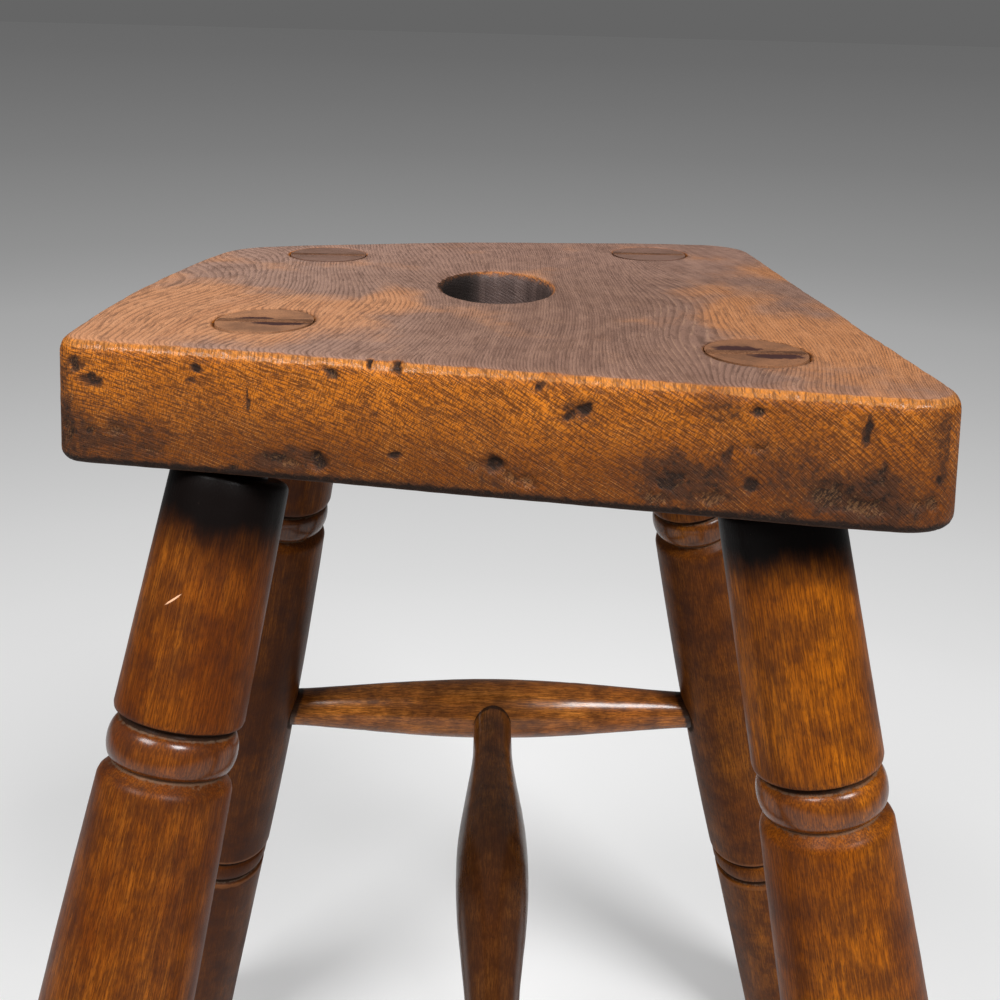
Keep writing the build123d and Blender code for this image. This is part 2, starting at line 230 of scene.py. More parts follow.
for v in b.verts:
    p, n = v.co, v.normal
    deep = (NEAR_LEFT - p).dot(near_out) / MM
    along = (p - NEAR_LEFT).dot(near_along) / MM
    up = (p.z - UNDERSIDE) / MM
    push = 0.28 * lump(p, 45 * MM) + 0.07 * lump(p, 9 * MM, 1)
    slant = max(abs(n.z), sqrt(n.x ** 2 + n.y ** 2))
    on_arris = min(1, max(0, (0.985 - slant) / 0.12))
    at_hole = (p.xy - HOLE.xy).length / MM < 38
    nick = max(0, lump(p, 5 * MM, 2) - 0.22) + max(0, lump(p, 14 * MM, 3) - 0.25)
    if n.z > 0.1 and not at_hole:
        push -= on_arris * nick * 0.8
    v[rubbed_and_highlight] = on_arris ** 2.3 * (0.7 + 0.5 * lump(p, 20 * MM, 4)) if n.z > 0 else 0.2 * on_arris
    if at_hole:
        # Painted highlight: round the hand hole the rubbed colour is kept mostly to the far and right rim.
        v[rubbed_and_highlight] *= 0.1 + 0.35 * (p.x > HOLE.x + 8 * MM) + 0.5 * (p.y > HOLE.y + 12 * MM)
        push += 0.9 * max(0, 1 - abs(n.z)) * (abs(n.z) < 0.9)
    if deep < 5.5 and n.dot(near_out) > 0.25:
        along += 1.6 * lump(p, 4 * MM, 9)
        up += 1.6 * lump(p, 4 * MM, 10)
        ragged = 1 + 0.5 * lump(p, 2.5 * MM, 5)
        for mark in FACE_MARKS:
            cover = oval(along, up, mark) * ragged
            if cover > 0:
                push -= mark[4] * min(1, 1.8 * cover)
                v[dirt_and_shade] = max(v[dirt_and_shade], mark[5] * min(1, 1.7 * cover))
                v[torn] = max(v[torn], mark[6] * min(1, 1.5 * cover))
        for cloud in FACE_CLOUDS:
            cover = oval(along, up, cloud) * (1 + 0.7 * lump(p, 9 * MM, 6))
            v[dirt_and_shade] = max(v[dirt_and_shade], cloud[4] * 0.8 * min(1, 1.6 * max(0, cover)))
        # Painted shade: the near face is made darker along its bottom edge.
        v[dirt_and_shade] = max(v[dirt_and_shade], 0.4 * max(0, 1 - up / 9))
    # Painted shade: every face that turns down is made darker.
    if -0.9 < n.z < -0.05:
        v[dirt_and_shade] = max(v[dirt_and_shade], min(1, -2.6 * n.z + 0.2 * lump(p, 8 * MM, 12)))
    for name in LEG_TOP:
        off_socket = (p - LEG_TOP[name]).cross(LEG_DOWN[name]).length / MM - TENON
        if off_socket < 3 and n.z > 0.1:
            v[rubbed_and_highlight] = 0
            v[dirt_and_shade] = max(0, (0.6 if name.startswith("front") else 0.3) - off_socket / 4)
    v[hand] = max(0, min(1, (0.75 - n.z) / 0.3)) if at_hole and abs(p.z - SEAT_TOP) < 40 * MM else 0
    # Painted shade: the hand hole's wall is made darker towards its left side.
    if at_hole and abs(n.z) < 0.9:
        v[dirt_and_shade] = max(0, min(0.7, (HOLE.x - p.x) / MM / 20))
    if v[hand] > 0.2:
        v[rubbed_and_highlight] *= 0.3
    edge_x = abs(p.x / MM - SEAT_X) / HALF_WIDTH
    # The warm patch on the top's left is partly wear and partly a painted sheen.
    left_wear_and_sheen = max(0, 1 - ((p.x / MM - SEAT_X + 105) / 85) ** 2 - ((p.y / MM - SEAT_Y + 50) / 55) ** 2)
    right_glow = max(0, 1 - ((p.x / MM - SEAT_X - 112) / 40) ** 2 - ((p.y / MM - SEAT_Y + 70) / 75) ** 2)
    hole_glow = max(0, 1 - ((p.x / MM - SEAT_X + 40) / 16) ** 2 - ((p.y / MM - SEAT_Y + 10) / 26) ** 2)
    v[warm] = 0.18 + 0.25 * edge_x ** 3 + 0.3 * lump(p, 34 * MM, 7)
    v[warm] += 0.5 * left_wear_and_sheen + 0.36 * right_glow + 0.35 * hole_glow
    low = max(0, min(1, 1 - up / SEAT_THICKNESS))
    to_side = (p.x / MM - SEAT_X) / HALF_WIDTH
    spread = max(0, min(1, (abs(to_side) - 0.72) / 0.28)) * max(0, 1 - deep / 160)
    spread *= -4.8 * low if to_side < 0 else 1.4 + 5.6 * low
    moves[v] = n * push * MM + Vector((spread * MM, 0, 0))
for v, move in moves.items():
    v.co += move
seat = finish_piece(b, "worn_seat", "seat", corner=60)
print("seat triangles:", sum(len(p.vertices) - 2 for p in seat.data.polygons))

# %% [markdown]
# ## The legs' shape
# Each leg was turned on a lathe, so its shape is one outline spun round an axis. Going down
# from the tenon, which is drawn thinner inside the seat, the outline has a rounded shoulder, a
# swelling collar, a bead between two grooves, the long swell that takes the cross bar, and a
# thin double ring above the foot. The outline is a chain of edges and bmesh spins it. Its crisp
# rings are then bevelled, because wax and hands round every arris, and the surface is pushed
# about by tenths of a millimetre, as dry old wood is never a perfect circle. Last, the leg is
# stood in its place, and two planes cut it flush with the seat and with the floor.


# %% Spin a chain of points into a closed turned bmesh
def curve_points(start, middle, end, steps):
    """Points of a smooth bend from start to end, through middle at its own share of the way."""
    (r0, d0), (r1, d1), (r2, d2) = start, middle, end
    points = []
    for step in range(1, steps):
        d = d0 + (d2 - d0) * step / steps
        r = r0 * (d - d1) * (d - d2) / ((d0 - d1) * (d0 - d2))
        r += r1 * (d - d0) * (d - d2) / ((d1 - d0) * (d1 - d2))
        r += r2 * (d - d0) * (d - d1) / ((d2 - d0) * (d2 - d1))
        points.append((r, d))
    return points


def half_round(radius, stand, top, foot, steps):
    """A bead's outline between two depths, standing out of a radius."""
    middle, half = (top + foot) / 2, (top - foot) / 2
    turns = [pi * step / steps for step in range(1, steps)]
    return [(radius + stand * sin(t) ** 0.85, middle + half * cos(t)) for t in turns]


def turned(outline, steps, gap):
    """Spins (radius, height) points, in millimetres, round Z. Long stretches are divided."""
    b = bmesh.new()
    chain = [b.verts.new((r * MM, 0, h * MM)) for r, h in outline]
    edges = [b.edges.new(pair) for pair in zip(chain, chain[1:])]
    for edge in edges:
        cuts = int(edge.calc_length() / (gap * MM))
        if cuts:
            bmesh.ops.subdivide_edges(b, edges=[edge], cuts=cuts)
    bmesh.ops.spin(b, geom=b.verts[:] + b.edges[:], axis=(0, 0, 1), cent=(0, 0, 0), angle=2 * pi,
                   steps=steps, use_merge=True)
    bmesh.ops.remove_doubles(b, verts=b.verts, dist=0.01 * MM)
    bmesh.ops.recalc_face_normals(b, faces=b.faces)
    return b


def soften(b, width, least):
    """Rounds every arris sharper than an angle."""
    sharp = [e for e in b.edges if len(e.link_faces) == 2 and e.calc_face_angle() > radians(least)]
    bmesh.ops.bevel(b, geom=sharp, offset=width * MM, offset_type="OFFSET", segments=2, profile=0.5,
                    affect="EDGES", clamp_overlap=True, material=-1)


# %% The leg's radii from the top down, and how far below the seat its features are
SHOULDER, COLLAR, GROOVE = 21.5, 23.9, 20
BELOW_BEAD, SWELL, RING_SIDE, RING_GROOVE, FOOT = 24.7, 29, 29.6, 26.2, 28.2
HIDDEN_TENON = TENON - 4
BEAD_DOWN, BAR_DOWN, RING_DOWN = 111, 265, 393


def leg_outline(lean_sin, lean_cos, lower):
    """(radius, height up the axis) from the top of the tenon to past the floor."""
    high_side = (SHOULDER - 3) * lean_sin + 3 * (1 - lean_cos)
    shoulder = -(high_side / lean_cos + 0.05)
    end = SEAT_THICKNESS / lean_cos + TENON * lean_sin / lean_cos + 10
    floor = -(LEG_HEIGHT / lean_cos + FOOT * lean_sin / lean_cos + 10)
    bead, swell, ring = -(BEAD_DOWN + lower), -(BAR_DOWN + lower), -(RING_DOWN + lower)
    points = [(0, end), (TENON, end), (TENON, 30), (HIDDEN_TENON, 26), (HIDDEN_TENON, shoulder)]
    points += [(SHOULDER - 3, shoulder)]
    points += [(SHOULDER - 3 + 3 * sin(t), shoulder - 3 + 3 * cos(t)) for t in (pi / 6, pi / 3, pi / 2)]
    points += [(COLLAR - 0.1, bead + 16), (COLLAR, bead + 13), (COLLAR - 0.5, bead + 11)]
    points += [(GROOVE + 0.5, bead + 10.4), (GROOVE, bead + 9.6)] + half_round(GROOVE, 3.9, bead + 8, bead - 7.4, 18)
    points += [(GROOVE, bead - 8), (GROOVE + 0.8, bead - 8.8)]
    points += [(BELOW_BEAD - 1.6, bead - 11), (BELOW_BEAD - 0.6, bead - 12.2)]
    below, above = (BELOW_BEAD, bead - 14), (RING_SIDE, ring + 12)
    points += [below] + curve_points(below, (SWELL, swell), above, 24) + [above]
    half_ring = [(RING_GROOVE, 10.6), (RING_GROOVE, 7.6), (RING_GROOVE + 2.2, 5.6), (RING_GROOVE + 2.7, 2)]
    points += [(r, ring + h) for r, h in half_ring] + [(r, ring - h) for r, h in reversed(half_ring)]
    return points + [(RING_SIDE - 0.8, ring - 12), (FOOT, floor), (0, floor)]


# %% Cut a mesh flush with a level plane and close it
def cut_level(b, height, keep_below):
    """Cuts everything above, or below, a height and fills the cut."""
    cut = bmesh.ops.bisect_plane(b, geom=b.verts[:] + b.edges[:] + b.faces[:], plane_co=(0, 0, height),
                                 plane_no=(0, 0, 1), clear_outer=keep_below, clear_inner=not keep_below)
    rim = [g for g in cut["geom_cut"] if isinstance(g, bmesh.types.BMEdge)]
    bmesh.ops.edgeloop_fill(b, edges=rim)
    return rim


# %% Turn the four legs
def near_line(point, start, way):
    """Distance of a point from an endless line."""
    return (point - start).cross(way).length


CROSS_END, CROSS_MIDDLE, CENTRE_NECK, CENTRE_SWELL = 11.2, 18, 11.3, 18.4


def leg_point(name, down):
    """A point on a leg's axis, so many millimetres below the underside."""
    return LEG_TOP[name] + LEG_DOWN[name] * (down + LEG_LOWER[name]) * MM


CROSS_ENDS = {end: [leg_point(end + side, BAR_DOWN) for side in ("_left", "_right")] for end in ("front", "rear")}
legs, stands = {}, {}
for seed, (name, down) in enumerate(LEG_DOWN.items()):
    lean_cos = -down.z
    lean_sin = sqrt(1 - lean_cos ** 2)
    lower = LEG_LOWER[name]
    b = turned(leg_outline(lean_sin, lean_cos, lower), steps=112, gap=5)
    soften(b, 0.55, 24)
    dirt_and_shade = b.verts.layers.float.new("dirt_and_shade")
    rubbed_and_highlight = b.verts.layers.float.new("rubbed_and_highlight")
    dusty = b.verts.layers.float.new("dusty")
    polished = b.verts.layers.float.new("polished")
    bar_start, bar_end = CROSS_ENDS[name.split("_")[0]]
    if name.endswith("_right"):
        bar_start, bar_end = bar_end, bar_start
    bar_way = (bar_end - bar_start).normalized()
    stand = Matrix.Translation(LEG_TOP[name]) @ (-down).to_track_quat("Z", "Y").to_matrix().to_4x4()
    stands[name] = stand
    for v in b.verts:
        reach, height = v.co.xy.length / MM, v.co.z / MM
        if height > -4:
            continue
        from_bead, from_ring = height + BEAD_DOWN + lower, height + RING_DOWN + lower
        in_groove = max(0, 1.3 - abs(from_bead - 9.6) / 1.9, 0.7 - abs(from_bead + 7.0) / 1.0,
                        0.42 - abs(from_bead + 10.4) / 6, 1.4 - abs(abs(from_ring) - 9) / 2.1)
        v[dusty] = max(0, 1.05 - abs(from_bead + 8.0) / 1.1, 0.7 - abs(from_bead - 7.8) / 0.8,
                       0.6 - abs(from_ring + 11) / 1.2)
        at_bar = near_line(stand @ v.co, bar_start, bar_way) / MM
        bar_side = (stand @ v.co - bar_start).dot(bar_way) > 0
        v[dirt_and_shade] = max(in_groove, 0.9 * bar_side * max(0, 1 - max(0, at_bar - 11.5) / 4))
        v[rubbed_and_highlight] = max(0, 0.7 - abs(from_bead + 13) / 1.4, 0.5 - abs(from_bead - 12) / 1.6,
                        0.8 - abs(abs(from_ring) - 12.4) / 1.8)
        v[polished] = max(0, min(1, (8 - abs(from_bead)) / 2))
        oval_side = 0.12 * lump(v.co, 60 * MM, seed) + 0.06 * lump(v.co, 14 * MM, seed + 9)
        small_dent = -0.35 * max(0, lump(v.co, 7 * MM, seed + 20) - 0.42)
        v.co.xy *= 1 + (oval_side + small_dent) / max(reach, 1)
    b.transform(stand)
    rim = cut_level(b, 0, keep_below=False)
    bmesh.ops.bevel(b, geom=rim, offset=2 * MM, offset_type="OFFSET", segments=3, profile=0.5,
                    affect="EDGES", material=-1)
    cut_level(b, SEAT_TOP - 0.1 * MM, keep_below=True)
    bmesh.ops.recalc_face_normals(b, faces=b.faces)
    legs[name] = finish_piece(b, "turned_leg_" + name, "leg_" + name, corner=50)

# %% [markdown]
# ## The wedges
# A wedge driven into the sawn end of each tenon spreads it in its socket. Its top edge shows as
# a thin bar across the tenon. The CAD wedge has the right taper, so a copy of it gets rounded
# arrises, and the same shape cuts the saw kerf in the leg. The tenon's end has gone dark in
# patches on either side of the wedge, which its material adds later.

# %% Wedges and kerfs
wedges = {}
for name, leg in legs.items():
    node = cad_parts["wedge_" + name]
    cutter = bpy.data.objects.new("cutter", node.data.copy())
    SCENE.collection.objects.link(cutter)
    kerf = leg.modifiers.new("kerf", "BOOLEAN")
    kerf.object = cutter
    kerf.solver = "EXACT"
    graph = bpy.context.evaluated_depsgraph_get()
    sawn = bpy.data.meshes.new_from_object(leg.evaluated_get(graph))
    leg.modifiers.clear()
    leg.data = sawn
    bpy.data.objects.remove(cutter)
    b = merged_copy("wedge_" + name)
    bmesh.ops.dissolve_limit(b, angle_limit=radians(3), verts=b.verts, edges=b.edges)
    soften(b, 0.35, 35)
    wedges[name] = finish_piece(b, "driven_wedge_" + name, "wedge_" + name)

# %% [markdown]
# ## The bars
# The two cross bars and the centre bar were turned too, from thinner squares: fat in the middle
# and thin at the ends that go into their sockets. They are spun in the same way, then laid
# between the points that they join. Their ends run a little way into the legs, as tenons do.


# %% Lay a turned bar between two points
def lay_bar(name, start, end, outline, seed, joints):
    """outline is (radius, distance from start); joints are the lines and radii of what it meets."""
    b = turned(outline, steps=72, gap=4)
    soften(b, 0.4, 30)
    dirt_and_shade = b.verts.layers.float.new("dirt_and_shade")
    polished = b.verts.layers.float.new("polished")
    way = (end - start).normalized()
    lay = Matrix.Translation(start) @ way.to_track_quat("Z", "Y").to_matrix().to_4x4()
    for v in b.verts:
        reach = max(v.co.xy.length / MM, 1)
        uneven = 0.22 * lump(v.co, 34 * MM, seed) + 0.08 * lump(v.co, 10 * MM, seed + 5)
        dent = -0.5 * max(0, lump(v.co, 8 * MM, seed + 30) - 0.4)
        if reach > 5:
            v.co.xy *= 1 + (uneven + dent) / reach
        place = lay @ v.co
        for line_start, line_way, radius in joints:
            gap = near_line(place, line_start, line_way) / MM - radius
            v[dirt_and_shade] = max(v[dirt_and_shade], 1 - max(0, gap) / 5)
        v[polished] = 0.95
    b.transform(lay)
    piece = finish_piece(b, "turned_" + name, name)
    return piece, lay


def fat_outline(length, start, end, thin, fat):
    """Thin at both ends and fat in the middle."""
    neck, steps = 20, 40
    points = [(0, start), (thin, start), (thin, start + neck)]
    run = length - start - end - 2 * neck
    for step in range(1, steps):
        lift = sin(pi * step / steps) ** 1.3
        points.append((thin + (fat - thin) * lift, start + neck + run * step / steps))
    return points + [(thin, length - end - neck), (thin, length - end), (0, length - end)]


bars = {}
for seed, (side, (start, end)) in enumerate(CROSS_ENDS.items()):
    way = (end - start).normalized()
    length = (end - start).length / MM
    joints = [(start, LEG_DOWN[side + "_left"], SWELL), (end, LEG_DOWN[side + "_right"], SWELL)]
    outline = fat_outline(length, 10, 10, CROSS_END, CROSS_MIDDLE)
    bars[side] = lay_bar("stretcher_" + side, start, end, outline, 40 + seed, joints)

# %% The centre bar, from the rear cross bar to the front one
start = (CROSS_ENDS["rear"][0] + CROSS_ENDS["rear"][1]) / 2
end = (CROSS_ENDS["front"][0] + CROSS_ENDS["front"][1]) / 2
length = (end - start).length / MM
neck = 48
swell_from, swell_to = neck, length - neck
outline = [(0, 7), (CENTRE_NECK, 7), (CENTRE_NECK, swell_from)]
for step in range(1, 40):
    share = step / 40
    lift = sin(pi * share ** 0.96) ** 1.55
    along = swell_from + (swell_to - swell_from) * share
    outline.append((CENTRE_NECK + (CENTRE_SWELL - CENTRE_NECK) * lift, along))
outline += [(CENTRE_NECK, swell_to), (CENTRE_NECK, length - 7), (0, length - 7)]
rear_way = (CROSS_ENDS["rear"][1] - CROSS_ENDS["rear"][0]).normalized()
front_way = (CROSS_ENDS["front"][1] - CROSS_ENDS["front"][0]).normalized()
bars["centre"] = lay_bar("stretcher_centre", start, end, outline, 50,
                         [(start, rear_way, CROSS_MIDDLE), (end, front_way, CROSS_MIDDLE)])


# %% [markdown]
# ## Helpers for materials
# A material is a small machine of nodes. These helpers add a node, set or link its inputs and
# hand back its output, so each finish below reads as a list of what lies over what. What more
# than one wood needs is built once as a node group: growth rings, short pores, soft blotches,
# scratches and a ragged mask that turns a painted value into a crisp patch.

# %% Node helpers
def add(tree, kind, inputs=None, **settings):
    """A node of one kind, with its inputs set to values or linked to other nodes' outputs."""
    node = tree.nodes.new("ShaderNode" + kind)
    for key, value in settings.items():
        setattr(node, key, value)
    for key, value in (inputs or {}).items():
        if isinstance(value, bpy.types.NodeSocket):
            tree.links.new(value, node.inputs[key])
        else:
            node.inputs[key].default_value = value
    return node


def calc(tree, operation, first, second=0.0, third=0.0, clamp=False):
    """One step of arithmetic."""
    inputs = {0: first, 1: second, 2: third}
    return add(tree, "Math", inputs, operation=operation, use_clamp=clamp).outputs[0]


def fade(tree, value, low, high, start=0.0, stop=1.0):
    """Goes smoothly from start to stop as a value passes from low to high."""
    inputs = {"Value": value, "From Min": low, "From Max": high, "To Min": start, "To Max": stop}
    return add(tree, "MapRange", inputs, interpolation_type="SMOOTHSTEP").outputs["Result"]


def layer(tree, share, under, over):
    """Lays one colour over another. A colour is an output, or red, green and blue."""
    node = add(tree, "Mix", data_type="RGBA")
    for at, value in ((0, share), (6, under), (7, over)):
        if isinstance(value, bpy.types.NodeSocket):
            tree.links.new(value, node.inputs[at])
        else:
            node.inputs[at].default_value = (*value, 1)
    return node.outputs[2]


def coats(tree, colour, lays):
    """Lays several colours on, one over the other: (where, how strongly, colour)."""
    for where, strength, over in lays:
        colour = layer(tree, calc(tree, "MULTIPLY", where, strength), colour, over)
    return colour


def new_group(name, takes, gives):
    """A node group with named inputs (name: kind or first value) and named float outputs."""
    tree = bpy.data.node_groups.new(name, "ShaderNodeTree")
    for key, value in takes.items():
        kind = "NodeSocketVector" if value is Vector else "NodeSocketFloat"
        socket = tree.interface.new_socket(key, in_out="INPUT", socket_type=kind)
        if value is not Vector:
            socket.default_value = value
    for key in gives:
        kind = "NodeSocketVector" if key.endswith("Place") else "NodeSocketFloat"
        tree.interface.new_socket(key, in_out="OUTPUT", socket_type=kind)
    return tree, tree.nodes.new("NodeGroupInput").outputs, tree.nodes.new("NodeGroupOutput").inputs


def use(tree, group, inputs):
    """Places a node group in a material or in another group."""
    node = tree.nodes.new("ShaderNodeGroup")
    node.node_tree = group
    for key, value in inputs.items():
        if isinstance(value, bpy.types.NodeSocket):
            tree.links.new(value, node.inputs[key])
        else:
            node.inputs[key].default_value = value
    return node.outputs


# %% Group: wood that has grown round a pith
# Takes a place whose Z runs along the grain, with the pith at X = Y = 0, and bends it a little.
# It gives the distance from the pith, and that distance with the way round the pith and the way
# along the grain as one vector, in which rings are flat layers.
takes = {"Place": Vector, "Wander": 0.008, "Wander Size": 0.08, "Seed": 0.0, "Pith Distance": 0.4}
tree, takes, gives = new_group("bent grain", takes, ["Distance", "Ring Place"])
flat = add(tree, "VectorMath", {0: takes["Place"], 1: (1, 1, 0.45)}, operation="MULTIPLY").outputs[0]
scale = calc(tree, "DIVIDE", 1, takes["Wander Size"])
settings = {"Vector": flat, "W": takes["Seed"], "Scale": scale, "Detail": 1.3, "Roughness": 0.4}
mottle = add(tree, "TexNoise", settings, noise_dimensions="4D").outputs["Color"]
centred = add(tree, "VectorMath", {0: mottle, 1: (0.5, 0.5, 0.5)}, operation="SUBTRACT").outputs[0]
swing = calc(tree, "MULTIPLY", takes["Wander"], 2)
eddies = add(tree, "VectorMath", {0: centred, "Scale": swing}, operation="SCALE").outputs[0]
bent = add(tree, "VectorMath", {0: takes["Place"], 1: eddies}, operation="ADD").outputs[0]
parts = add(tree, "SeparateXYZ", {0: bent}).outputs
across, off_pith = (calc(tree, "MULTIPLY", part, part) for part in parts[:2])
distance = calc(tree, "SQRT", calc(tree, "ADD", across, off_pith))
turn = calc(tree, "MULTIPLY", calc(tree, "ARCTAN2", parts[0], parts[1]), takes["Pith Distance"])
rings = add(tree, "CombineXYZ", {0: distance, 1: turn, 2: parts[2]}).outputs[0]
tree.links.new(distance, gives["Distance"])
tree.links.new(rings, gives["Ring Place"])
bent_grain = tree

# %% Group: growth rings
# Dark line where each ring ends, broken up so that no line is whole, and a slow tone that makes
# some years darker than others.
takes = {"Distance": 0.0, "Spacing": 0.002, "Place": Vector}
tree, takes, gives = new_group("growth rings", takes, ["Line", "Pale", "Tone"])
count = calc(tree, "DIVIDE", takes["Distance"], takes["Spacing"])
saw = calc(tree, "FRACT", count)
line = calc(tree, "MULTIPLY", fade(tree, saw, 0.45, 0.85), fade(tree, saw, 1.0, 0.92))
pale = calc(tree, "MULTIPLY", fade(tree, saw, 0.0, 0.1), fade(tree, saw, 0.3, 0.15))
tone = add(tree, "TexNoise", {"W": calc(tree, "MULTIPLY", count, 0.31), "Scale": 1.0, "Detail": 2.0},
           noise_dimensions="1D").outputs["Fac"]
broken = add(tree, "TexNoise", {"Vector": takes["Place"], "Scale": 90.0, "Detail": 3.0}).outputs["Fac"]
tree.links.new(calc(tree, "MULTIPLY", line, fade(tree, broken, 0.2, 0.66)), gives["Line"])
tree.links.new(calc(tree, "MULTIPLY", pale, fade(tree, broken, 0.55, 0.4)), gives["Pale"])
tree.links.new(tone, gives["Tone"])
growth_rings = tree

# %% Group: pores and flecks
# Short marks of one size: noise squeezed until it is longer one way than the others, with only
# its peaks kept.
takes = {"Place": Vector, "Wide": 0.0004, "Deep": 0.0004, "Long": 0.004, "Amount": 0.4, "Seed": 0.0}
tree, takes, gives = new_group("pores", takes, ["Mask"])
size = add(tree, "CombineXYZ", {0: takes["Wide"], 1: takes["Deep"], 2: takes["Long"]}).outputs[0]
squeezed = add(tree, "VectorMath", {0: takes["Place"], 1: size}, operation="DIVIDE").outputs[0]
grainy = add(tree, "TexNoise", {"Vector": squeezed, "W": takes["Seed"], "Scale": 0.5, "Detail": 1.0},
             noise_dimensions="4D").outputs["Fac"]
least = calc(tree, "SUBTRACT", 0.72, calc(tree, "MULTIPLY", takes["Amount"], 0.35))
tree.links.new(fade(tree, grainy, least, calc(tree, "ADD", least, 0.14)), gives["Mask"])
pores = tree


def pore_mask(tree, place, size, amount, seed):
    """Pores in a material. size is how wide, how deep and how long one is, in metres."""
    wide, deep, long = size
    settings = {"Place": place, "Wide": wide, "Deep": deep, "Long": long, "Amount": amount, "Seed": seed}
    return use(tree, pores, settings)["Mask"]


# %% Group: blotches
takes = {"Place": Vector, "Size": 0.03, "Amount": 0.5, "Edge": 0.15, "Seed": 0.0}
tree, takes, gives = new_group("blotches", takes, ["Mask"])
scale = calc(tree, "DIVIDE", 0.6, takes["Size"])
settings = {"Vector": takes["Place"], "W": takes["Seed"], "Scale": scale, "Detail": 5.0, "Roughness": 0.6}
cloudy = add(tree, "TexNoise", settings, noise_dimensions="4D").outputs["Fac"]
least = calc(tree, "SUBTRACT", 0.75, calc(tree, "MULTIPLY", takes["Amount"], 0.5))
rim_low, rim_high = (calc(tree, way, least, takes["Edge"]) for way in ("SUBTRACT", "ADD"))
tree.links.new(fade(tree, cloudy, rim_low, rim_high), gives["Mask"])
blotches = tree


def blotch_mask(tree, place, size, amount, edge, seed):
    """Blotches in a material, of about that size in metres."""
    settings = {"Place": place, "Size": size, "Amount": amount, "Edge": edge, "Seed": seed}
    return use(tree, blotches, settings)["Mask"]


# %% Group: scratches
tree, takes, gives = new_group("scratches", {"Place": Vector, "Amount": 0.3, "Seed": 0.0}, ["Mask"])
found = None
for angle, seed in ((0.5, 0), (2.2, 11), (1.2, 23)):
    turn = {"Vector": takes["Place"], "Axis": (0.3, 0.5, 1), "Angle": angle}
    spun = add(tree, "VectorRotate", turn).outputs[0]
    own_seed = calc(tree, "ADD", takes["Seed"], seed)
    mask = pore_mask(tree, spun, (0.00022, 0.02, 0.012), takes["Amount"], own_seed)
    found = mask if found is None else calc(tree, "MAXIMUM", found, mask)
tree.links.new(found, gives["Mask"])
scratches = tree

# %% Group: ragged patch
# A value painted on the mesh is smooth. Noise eats into it, so that dirt and torn wood end
# raggedly.
takes = {"Painted": 0.0, "Place": Vector, "Size": 0.002, "Ragged": 0.5}
tree, takes, gives = new_group("ragged patch", takes, ["Mask"])
scale = calc(tree, "DIVIDE", 0.6, takes["Size"])
settings = {"Vector": takes["Place"], "Scale": scale, "Detail": 4.0, "Roughness": 0.65}
eaten = add(tree, "TexNoise", settings).outputs["Fac"]
uneven = calc(tree, "MULTIPLY", calc(tree, "SUBTRACT", eaten, 0.5), takes["Ragged"])
value = calc(tree, "ADD", takes["Painted"], calc(tree, "MULTIPLY", uneven, 2))
tree.links.new(fade(tree, value, 0.25, 0.6), gives["Mask"])
ragged_patch = tree


def patch_mask(tree, value, place, size, ragged):
    """A painted value as ragged patches, whose teeth are about that size in metres."""
    settings = {"Painted": value, "Place": place, "Size": size, "Ragged": ragged}
    return use(tree, ragged_patch, settings)["Mask"]


print("node groups:", len(bpy.data.node_groups))


# %% Start a material
def new_wood(name):
    """A material with a Principled shader and nothing else."""
    wood = bpy.data.materials.new(name)
    wood.use_nodes = True
    tree = wood.node_tree
    return wood, tree, tree.nodes["Principled BSDF"]


def place_on(tree, location=(0, 0, 0), rotation=(0, 0, 0)):
    """Where a point of the piece is, after centring and turning the pattern."""
    where = add(tree, "TexCoord").outputs["Object"]
    return add(tree, "Mapping", {"Vector": where, "Location": location, "Rotation": rotation}).outputs[0]


def painted(tree, name):
    """A value that was painted on the mesh's vertices."""
    return add(tree, "Attribute", attribute_name=name).outputs["Fac"]


def oval_mark(tree, centre, size, rotation=(0, 0, 0), soft=0.3, ragged=0.0):
    """1 inside an oval of the piece, 0 outside it. size holds its half lengths."""
    where = add(tree, "TexCoord").outputs["Object"]
    settings = {"Vector": where, "Location": centre, "Rotation": rotation, "Scale": size}
    inside = add(tree, "Mapping", settings, vector_type="TEXTURE").outputs[0]
    away = add(tree, "VectorMath", {0: inside}, operation="LENGTH").outputs["Value"]
    if ragged:
        eaten = add(tree, "TexNoise", {"Vector": where, "Scale": 450.0, "Detail": 3.0}).outputs["Fac"]
        away = calc(tree, "ADD", away, calc(tree, "MULTIPLY", calc(tree, "SUBTRACT", eaten, 0.5), ragged))
    return fade(tree, away, 1, 1 - soft)


# %% [markdown]
# ## Elm
# The seat's board was sawn far from the pith, so on the near face the rings are shallow arcs
# that climb to the left, and fine rays cross them. On the top the same rings run away from the
# near face and wander, which draws elm's eddying figure. The top is grey-brown with old wax and
# dirt, and warm orange comes through where it has been rubbed. A painted sheen lightens the top
# towards the far side and the left, and a painted highlight lies on the hand hole's far and right
# rim. Painted shade darkens the near face towards its bottom and its right, the faces that turn
# down, and the left of the hand hole's wall.

# %% The elm material
elm, tree, shader = new_wood("worn_elm")
PITH_X, PITH_Z = (SEAT_X - 225) * MM, UNDERSIDE - 395 * MM
along_grain = place_on(tree, (-PITH_X, PITH_Z, 0), (pi / 2, 0, 0))
spot = add(tree, "TexCoord").outputs["Object"]
facing = add(tree, "SeparateXYZ", {0: add(tree, "NewGeometry").outputs["Normal"]}).outputs
on_top = fade(tree, facing[2], 0.75, 0.97)
